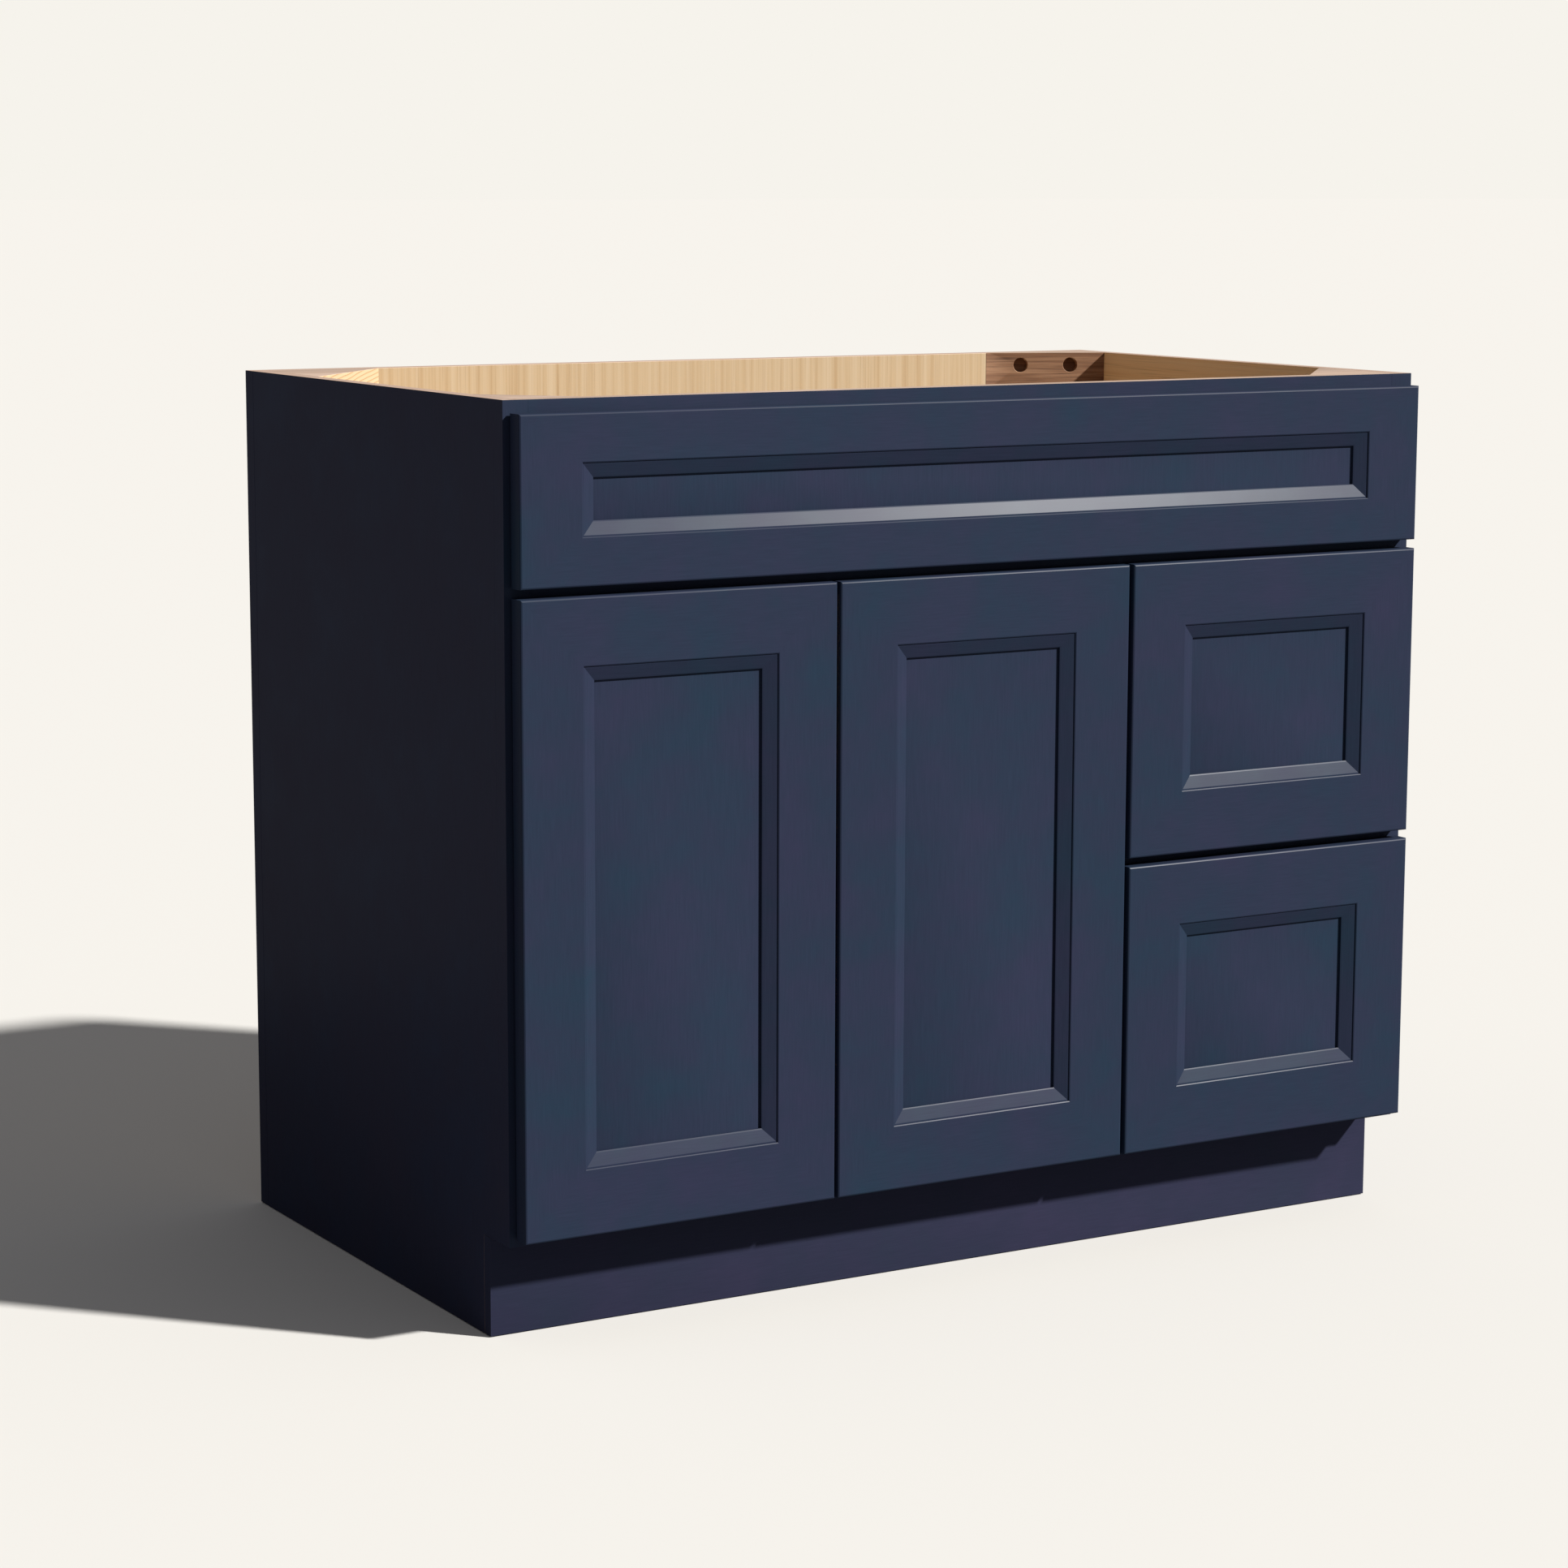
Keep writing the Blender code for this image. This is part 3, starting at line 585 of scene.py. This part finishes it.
def sidePanel(side):
    low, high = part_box(f"{side}_side_panel")
    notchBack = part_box("toe_kick_board")[1].y + caseLook["notchGap"]
    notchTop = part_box("left_stile")[0].z
    front = low.y - caseLook["frameJoint"]
    outline = [
        (notchBack, 0), (high.y, 0), (high.y, high.z), (front, high.z), (front, notchTop),
        (notchBack, notchTop),
    ]
    shape = prism(outline, low.x, high.x, xAxis, caseLook["frameEdge"])
    outside = {"left": "-x", "right": "+x"}[side]
    inside = {"left": "+x", "right": "-x"}[side]
    addPiece(f"{side}_side_panel_board", shape, [pliesX, navySidePaintedFill, birchDeepPaintedFill], "cabinet",
             [f"{side}_side_panel"], {outside: 1, inside: 2})


edge = caseLook["boardEdge"]
for side in ("left", "right"):
    sidePanel(side)
board("back_panel", yAxis, edge, [pliesY, birchUp, navySidePaintedFill], {"-y": 1, "+y": 1, "-x": 2, "+x": 2})
board("bottom_panel", zAxis, edge, [pliesZ, birchAcross], {"-z": 1, "+z": 1})
board("drawer_partition", xAxis, edge, [pliesX, birchDeepPaintedFill], {"-x": 1, "+x": 1})
board("toe_kick_board", yAxis, caseLook["kickEdge"], [navyKickPaintedBounce, navySidePaintedFill], {"-x": 1, "+x": 1},
      longer=(0, caseLook["frameJoint"], 0))

edge = caseLook["frameEdge"]
# Painted over, the rails' joints with the stiles don't show.
joined = (caseLook["frameJoint"], 0, 0)
for rail in ("top_rail", "middle_rail", "bottom_rail", "drawer_rail"):
    raw = {"+y": 1, "+z": 1} if rail == "top_rail" else {"+y": 1}
    board(rail, yAxis, edge, [navyAcross, mapleAcross], raw, longer=joined)
for stile, outside in (("left_stile", "-x"), ("right_stile", "+x")):
    board(stile, yAxis, edge, [navyUpright, mapleUp, navySidePaintedFill], {"+y": 1, "+z": 1, outside: 2})
board("mid_stile", yAxis, edge, [navyUpright, mapleUp], {"+y": 1})


def cornerBlock(end, side, look):
    node = f"corner_block_{end}_{side}"
    low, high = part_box(node)
    across = (low.x, high.x) if side == "left" else (high.x, low.x)
    depth = (low.y, high.y) if end == "front" else (high.y, low.y)
    outline = [(across[0], depth[0]), (across[1], depth[0]), (across[0], depth[1])]
    shape = prism(outline, low.z, high.z, zAxis, caseLook["blockEdge"])
    addPiece(f"{node}_eased", shape, [look, mapleAcross], "cabinet", [node], {"+z": 1})


cornerBlock("front", "left", pine)
cornerBlock("back", "left", pine)
cornerBlock("front", "right", brownPoplar)

drilledLook = {
    "radius": 8.1 * mm, "drop": 13.7 * mm, "depth": 11 * mm, "at": (0.29, 0.71),
    "chamfer": 0.5 * mm, "perSide": 12,
}


def drilledBlock(node):
    # The slanted face is one rectangle per hole. Each point on its rim has three more in the same
    # direction from the hole's middle: on the chamfer's two circles and at the drill's depth.
    look = drilledLook
    low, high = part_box(node)
    start, end = np.array([low.x, high.y]), np.array([high.x, low.y])
    square = np.array([high.x, high.y])
    length = np.linalg.norm(end - start)
    along = (end - start) / length
    inward = np.array([-along[1], along[0]])
    count = look["perSide"]
    step = np.arange(count) / count
    points, faces = [], []

    def placed(s, z, depth):
        flat = start + np.outer(s, along) + np.outer(depth, inward)
        return np.column_stack([flat, z])

    for number, fraction in enumerate(look["at"]):
        s0, s1 = number * length / 2, (number + 1) * length / 2
        z0, z1 = low.z, high.z
        rimS = np.concatenate([
            s0 + (s1 - s0) * step, np.full(count, s1), s1 + (s0 - s1) * step, np.full(count, s0),
        ])
        rimZ = np.concatenate([
            np.full(count, z0), z0 + (z1 - z0) * step, np.full(count, z1), z1 + (z0 - z1) * step,
        ])
        centreS, centreZ = fraction * length, high.z - look["drop"]
        reach = np.hypot(rimS - centreS, rimZ - centreZ)
        towardS, towardZ = (rimS - centreS) / reach, (rimZ - centreZ) / reach
        flush = np.zeros(4 * count)
        rings = [
            placed(centreS + towardS * radius, centreZ + towardZ * radius, flush + depth)
            for radius, depth in (
                (look["radius"], look["depth"]), (look["radius"], look["chamfer"]),
                (look["radius"] + look["chamfer"], 0),
            )
        ] + [placed(rimS, rimZ, flush)]
        first = sum(len(p) for p in points)
        points.append(np.concatenate(rings))
        faces += [[first + corner for corner in face] for face in bridgeFaces(4, 4 * count)]
        faces.append(list(range(first, first + 4 * count))[::-1])
    everything = np.concatenate(points)
    s = np.linspace(0, length, 2 * count + 1)
    z = np.linspace(low.z, high.z, count + 1)
    corner = np.array([[*square, low.z], [*square, high.z]])
    rims = {
        "top": np.concatenate([placed(s, np.full(len(s), high.z), 0 * s), corner[1:]]),
        "bottom": np.concatenate([placed(s, np.full(len(s), low.z), 0 * s)[::-1], corner[:1]]),
        "startLeg": np.concatenate([placed(0 * z, z, 0 * z), corner[::-1]]),
        "endLeg": np.concatenate([placed(0 * z + length, z, 0 * z)[::-1], corner]),
    }
    for outline in rims.values():
        faces.append([len(everything) + i for i in range(len(outline))])
        everything = np.concatenate([everything, outline])
    # Points that two outlines share are kept once.
    _, firstSeen, again = np.unique(
        np.round(everything, 6), axis=0, return_index=True, return_inverse=True)
    again = again.ravel().tolist()
    faces = [[again[corner] for corner in face] for face in faces]
    return everything[firstSeen], faces


addPiece("corner_block_back_right_drilled", drilledBlock("corner_block_back_right"),
         [brownPoplar, mapleAcross], "cabinet", ["corner_block_back_right"],
         {"+z": 1})
print("case and face frame made")


drawerLook = {
    "boardEdge": 0.6 * mm, "bottomEdge": 0.3 * mm, "spacerEdge": 0.5 * mm,
    "groove": 5.0 * mm, "grooveSlack": 0.3 * mm,
}
slideLook = {
    "wall": 1.2 * mm, "bend": 0.5 * mm, "endEdge": 0.15 * mm,
    "ball": 1.05 * mm, "ballPitch": 11.0 * mm, "firstBall": 4.0 * mm, "ballSteps": 10,
    "poleRadius": 0.05,
    "cageThick": 0.4 * mm, "cageWidth": 3.0 * mm, "cageEdge": 0.1 * mm,
    "cageFrom": 6.0 * mm, "cageTo": 250.0 * mm,
}


def drawerBox(name):
    bottomLow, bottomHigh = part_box(f"{name}_bottom")
    grooveLow = bottomLow.z - drawerLook["grooveSlack"]
    grooveHigh = bottomHigh.z + drawerLook["grooveSlack"]
    edge = drawerLook["boardEdge"]

    def groovedOutline(outer, inner, low, high):
        # A wall of the box in section, with the bottom's groove cut into its inner face.
        cut = inner - math.copysign(drawerLook["groove"], inner - outer)
        return [
            (outer, low), (inner, low), (inner, grooveLow), (cut, grooveLow), (cut, grooveHigh),
            (inner, grooveHigh), (inner, high), (outer, high),
        ]

    for side in ("left", "right"):
        node = f"{name}_{side}_side"
        low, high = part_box(node)
        outer, inner = (low.x, high.x) if side == "left" else (high.x, low.x)
        outline = groovedOutline(outer, inner, low.z, high.z)
        addPiece(f"{node}_board", prism(outline, low.y, high.y, yAxis, edge),
                 [pliesX, birchDeepPaintedFill], name, [node], {"-x": 1, "+x": 1})
    node = f"{name}_box_front"
    low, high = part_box(node)
    outline = groovedOutline(low.y, high.y, low.z, high.z)
    addPiece(f"{node}_board", prism(outline, low.x, high.x, xAxis, edge),
             [pliesY, birchAcross], name, [node], {"-y": 1, "+y": 1})
    board(f"{name}_box_back", yAxis, edge, [pliesY, birchAcross], {"-y": 1, "+y": 1},
          name)
    board(f"{name}_bottom", zAxis, drawerLook["bottomEdge"], [pliesZ, birchAcross],
          {"-z": 1, "+z": 1}, name)


def rolledChannel(node, body, webLow):
    # A C section with bent corners, run along the slide.
    low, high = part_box(node)
    wall = slideLook["wall"]
    web, lip = (low.x, high.x) if webLow else (high.x, low.x)
    inner = web + (wall if webLow else -wall)
    outline = [
        (web, low.z), (lip, low.z), (lip, low.z + wall), (inner, low.z + wall),
        (inner, high.z - wall), (lip, high.z - wall), (lip, high.z), (web, high.z),
    ]
    shape = prism(outline, low.y, high.y, yAxis, slideLook["endEdge"], slideLook["bend"])
    addPiece(f"{node}_rolled", shape, [zinc], body, [node])


def ballCage(name, body, outerNode, innerNode):
    # Two thin strips of balls in the space between the lips of two channels.
    look = slideLook
    outerLow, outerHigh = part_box(outerNode)
    innerLow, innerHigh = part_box(innerNode)
    x = (max(outerLow.x, innerLow.x) + min(outerHigh.x, innerHigh.x)) / 2
    gapHigh = (outerHigh.z - look["wall"] + innerHigh.z) / 2
    gapLow = (outerLow.z + look["wall"] + innerLow.z) / 2
    y0, y1 = outerLow.y + look["cageFrom"], outerLow.y + look["cageTo"]
    halfWide, halfThick = look["cageWidth"] / 2, look["cageThick"] / 2
    angle = np.linspace(-math.pi / 2, math.pi / 2, 6)
    radii = np.maximum(np.cos(angle), look["poleRadius"])
    profile = np.column_stack([radii, np.sin(angle)]) * look["ball"]
    shapes = []
    for z in (gapLow, gapHigh):
        shapes.append(boardShape(
            (x - halfWide, y0, z - halfThick), (x + halfWide, y1, z + halfThick),
            zAxis, look["cageEdge"],
        ))
        for y in np.arange(y0 + look["firstBall"], y1, look["ballPitch"]):
            shapes.append(turned(profile, (x, y, z), (0, 0, 1), look["ballSteps"]))
    addPiece(name, combined(shapes), [nickel], body)


for name in ("lower_drawer", "upper_drawer"):
    drawerBox(name)
    board(f"{name}_slide_spacer", xAxis, drawerLook["spacerEdge"], [birchDeepPaintedFill], {})
    for side in ("left", "right"):
        onLeft = side == "left"
        parts = {part: f"{name}_{side}_slide_{part}" for part in ("channel", "middle", "rail")}
        rolledChannel(parts["channel"], "cabinet", onLeft)
        rolledChannel(parts["middle"], f"{name}_slides", onLeft)
        rolledChannel(parts["rail"], name, not onLeft)
        ballCage(f"{name}_{side}_outer_ball_cage", "cabinet", parts["channel"], parts["middle"])
        ballCage(f"{name}_{side}_inner_ball_cage", f"{name}_slides", parts["middle"], parts["rail"])
print("drawers and slides made")


screwLook = {
    "headRise": 1.3 * mm, "rim": 0.45, "steps": 40,
    "rings": (1.0, 1.0, 0.97, 0.9, 0.8, 0.7, 0.62, 0.54, 0.44, 0.34, 0.24, 0.14, 0.05),
    "crossHalf": 0.14, "crossReach": 0.62, "crossDepth": 0.8 * mm, "wallRun": 0.05, "endRun": 0.08,
}
hingeLook = {
    "cupScrewIn": 17.2 * mm, "cupScrewRise": 22.5 * mm, "cupScrewSink": 0.35 * mm,
    "cupScrewRadius": 3.4 * mm, "cupTwists": (12, 51),
    "plateScrewForward": 1.0 * mm, "plateScrewRise": 13.0 * mm, "plateScrewRadius": 3.2 * mm,
    "plateTwists": (33, 70),
}
bumperLook = {
    "radius": 4.5 * mm, "thick": 1.85 * mm, "inset": (16 * mm, 7 * mm), "rimRise": 0.02 * mm,
    "crown": (0.75, 0.35), "tip": 0.2 * mm, "steps": 28,
}


def screwHead(centre, axis, radius, twist):
    # A pan head on a polar grid: its height falls off as a quarter ellipse from the crown, less a
    # cross pressed in where the smaller of |x| and |y| is inside the slot and the radius its reach.
    look = screwLook
    rings = np.array(look["rings"])
    angle = np.linspace(0, math.tau, look["steps"], endpoint=False)
    x, y = np.outer(rings, np.cos(angle)), np.outer(rings, np.sin(angle))
    dome = look["rim"] + (1 - look["rim"]) * np.sqrt(np.clip(1 - rings ** 2, 0, 1))
    dome[0] = 0
    narrow = np.minimum(np.abs(x), np.abs(y))
    inSlot = np.clip((look["crossHalf"] - narrow) / look["wallRun"], 0, 1)
    inReach = np.clip((look["crossReach"] - rings) / look["endRun"], 0, 1)
    z = dome[:, None] * look["headRise"] - inSlot * inReach[:, None] * look["crossDepth"]
    upright = Vector((0, 0, 1)).rotation_difference(Vector(axis)).to_matrix()
    turn = np.array(upright @ Matrix.Rotation(math.radians(twist), 3, "Z"))
    points = np.stack([x * radius, y * radius, z], 2).reshape(-1, 3) @ turn.T + np.array(centre)
    last = (len(rings) - 1) * look["steps"]
    caps = [list(range(look["steps"]))[::-1], list(range(last, last + look["steps"]))]
    return points, bridgeFaces(len(rings), look["steps"]) + caps


def hinge(side, level):
    # The cup and the arm keep their own solids. Each gets the pair of screws that holds it.
    look = hingeLook
    door, out = f"{side}_door", 1 if side == "left" else -1
    cup, arm = (f"{door}_{level}_hinge_{part}" for part in ("cup", "arm"))
    for node in (cup, arm):
        bpy.data.objects[node].data.materials.clear()
        bpy.data.objects[node].data.materials.append(nickel)
    low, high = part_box(cup)
    x = (low.x if side == "left" else high.x) + out * look["cupScrewIn"]
    y, middle = high.y - look["cupScrewSink"], (low.z + high.z) / 2
    heads = [
        screwHead((x, y, middle + rise * look["cupScrewRise"]), (0, 1, 0),
                  look["cupScrewRadius"], twist)
        for rise, twist in zip((1, -1), look["cupTwists"])
    ]
    addPiece(f"{door}_{level}_cup_screws", combined(heads), [nickel], door)
    low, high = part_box(arm)
    x = high.x if side == "left" else low.x
    frameLow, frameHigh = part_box("left_stile")
    y = (frameLow.y + frameHigh.y) / 2 - look["plateScrewForward"]
    middle = (low.z + high.z) / 2
    heads = [
        screwHead((x, y, middle + rise * look["plateScrewRise"]), (out, 0, 0),
                  look["plateScrewRadius"], twist)
        for rise, twist in zip((1, -1), look["plateTwists"])
    ]
    addPiece(f"{door}_{level}_plate_screws", combined(heads), [nickel], "cabinet")


for side in ("left", "right"):
    for level in ("upper", "lower"):
        hinge(side, level)


def bumpers(name, node, body, corners):
    # Low clear domes stuck on the back of a front where it meets the face frame.
    look = bumperLook
    low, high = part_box(node)
    crown, start = look["crown"]
    angle = np.linspace(0, math.pi / 2, 6)
    dome = np.column_stack([
        crown + (1 - crown) * np.cos(angle), start + (1 - start) * np.sin(angle),
    ]) * (look["radius"], look["thick"])
    foot, tip = (look["radius"], look["rimRise"]), (look["tip"], look["thick"])
    profile = np.concatenate([[foot], dome, [tip]])
    places = [
        ((low.x, high.x)[right] + (-1 if right else 1) * look["inset"][0],
         (low.z, high.z)[top] + (-1 if top else 1) * look["inset"][1])
        for right, top in corners
    ]
    shapes = [turned(profile, (x, high.y, z), (0, 1, 0), look["steps"]) for x, z in places]
    addPiece(name, combined(shapes), [rubber], body)


allCorners = [(0, 0), (1, 0), (1, 1), (0, 1)]
bumpers("left_door_bumpers", "left_door_frame", "left_door", [(1, 0), (1, 1)])
bumpers("right_door_bumpers", "right_door_frame", "right_door", [(0, 0), (0, 1)])
for level in ("upper", "lower"):
    bumpers(f"{level}_drawer_bumpers", f"{level}_drawer_front_frame", f"{level}_drawer", allCorners)
bumpers("false_front_bumpers", "false_front_frame", "cabinet", allCorners)

drawerScrewLook = {
    "radius": 3.6 * mm, "fromEnd": 40 * mm, "fromBottom": 45 * mm, "fromTop": 35 * mm,
    "twist": 40.0, "twistPerMetre": 900.0,
}


def drawerScrews(name):
    # Four pan heads inside the box front, which draw the overlay front up to it.
    look = drawerScrewLook
    low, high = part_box(f"{name}_box_front")
    heads = [
        screwHead((x, high.y, z), (0, 1, 0), look["radius"],
                  look["twist"] + look["twistPerMetre"] * x)
        for x in (low.x + look["fromEnd"], high.x - look["fromEnd"])
        for z in (low.z + look["fromBottom"], high.z - look["fromTop"])
    ]
    addPiece(f"{name}_front_screws", combined(heads), [zinc], name)


for name in ("lower_drawer", "upper_drawer"):
    drawerScrews(name)
print("hinges, screws and bumpers made")


def stageFloor():
    half = floorLook["half"]
    mesh = bpy.data.meshes.new("paperFloor")
    flat = rectangle((-half, -half), (half, half))
    mesh.from_pydata([(x, y, 0) for x, y in flat], [], [(0, 1, 2, 3)])
    mesh.materials.append(seamlessPaper())
    piece = bpy.data.objects.new("paperFloor", mesh)
    bpy.context.scene.collection.objects.link(piece)
    piece.location.z = cadBox[0][2] - floorLook["drop"]


lightLook = {
    "turn": 43.0, "height": 34.0, "sunPower": 5.3, "sunAngle": 2.5, "sunColour": "#FFFDFB",
    "skyColour": "#F8F8FF", "sky": 0.17, "backdrop": "#F6F3EC",
}


def studioLight():
    look = lightLook
    sun = bpy.data.lights.new("keyLight", "SUN")
    sun.energy = look["sunPower"]
    sun.angle = math.radians(look["sunAngle"])
    sun.color = toLinear(look["sunColour"])[:3]
    lamp = bpy.data.objects.new("keyLight", sun)
    turn, height = math.radians(look["turn"]), math.radians(look["height"])
    toLight = Vector((
        math.sin(turn) * math.cos(height), -math.cos(turn) * math.cos(height), math.sin(height),
    ))
    lamp.rotation_euler = toLight.to_track_quat("Z", "Y").to_euler()
    bpy.context.scene.collection.objects.link(lamp)
    world = bpy.data.worlds.new("studio")
    world.use_nodes = True
    bpy.context.scene.world = world
    tree = world.node_tree
    tree.nodes.clear()
    fill = addNode(tree, "Background", {
        "Color": toLinear(look["skyColour"]), "Strength": look["sky"],
    })
    backdrop = addNode(tree, "Background", {"Color": toLinear(look["backdrop"]), "Strength": 1.0})
    ray = addNode(tree, "LightPath")
    mixed = addNode(tree, "MixShader", {
        0: ray.outputs["Is Camera Ray"], 1: fill.outputs[0], 2: backdrop.outputs[0],
    })
    addNode(tree, "OutputWorld", {"Surface": mixed.outputs[0]})


cameraLook = {
    "place": (-2.0337, -3.3784, 1.0747), "turn": 30.317, "down": 9.005, "roll": 0.159,
    "lens": 88.17, "sensor": 36.0, "farthest": 500,
}


def studioCamera():
    look = cameraLook
    turn, down, roll = (math.radians(look[key]) for key in ("turn", "down", "roll"))
    ahead = Vector((
        math.sin(turn) * math.cos(down), math.cos(turn) * math.cos(down), -math.sin(down),
    ))
    right = Vector((math.cos(turn), -math.sin(turn), 0))
    up = right.cross(ahead)
    tilted = right * math.cos(roll) + up * math.sin(roll)
    upright = up * math.cos(roll) - right * math.sin(roll)
    data = bpy.data.cameras.new("studioCamera")
    data.lens = look["lens"]
    data.sensor_width = look["sensor"]
    data.clip_end = look["farthest"]
    camera = bpy.data.objects.new("studioCamera", data)
    camera.matrix_world = Matrix((tilted, upright, -ahead)).transposed().to_4x4()
    camera.location = look["place"]
    bpy.context.scene.collection.objects.link(camera)
    bpy.context.scene.camera = camera


stageFloor()
studioLight()
studioCamera()
bpy.context.scene.view_settings.view_transform = "Standard"
print("stage, light and camera set")
